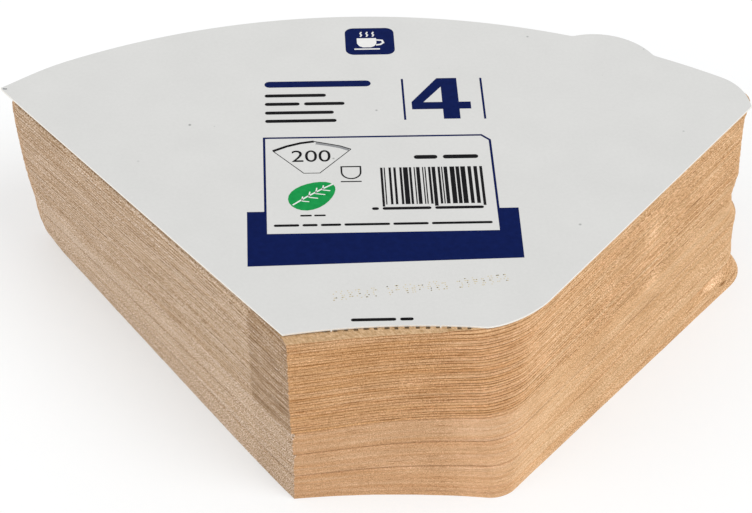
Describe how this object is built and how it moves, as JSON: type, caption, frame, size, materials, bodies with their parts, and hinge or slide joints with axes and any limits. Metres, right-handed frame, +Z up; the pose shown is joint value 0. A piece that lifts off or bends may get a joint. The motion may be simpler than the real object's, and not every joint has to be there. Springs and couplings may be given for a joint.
{
  "type": "pack of paper coffee filters",
  "caption": "Stack of unbleached fan-shaped cone coffee filters under a printed white cover card with a thumb tab, lying flat.",
  "frame": {"origin": "middle of the pack's box, on the surface that the pack lies on", "axes": "+Z up through the stack to the cover card, +Y from the narrow hem to the wide curved mouth, +X to the right along the hem"},
  "size_m": [0.1966, 0.1266, 0.053],
  "materials": {
    "filter_paper": "unbleached creped kraft filter paper, matt, cut and folded edges",
    "cover_card": "thin white coated board with a faint satin sheen and printed fields"
  },
  "bodies": {
    "root": {"filter_stack": "filter_paper", "cover_card": "cover_card"}
  },
  "joints": []
}
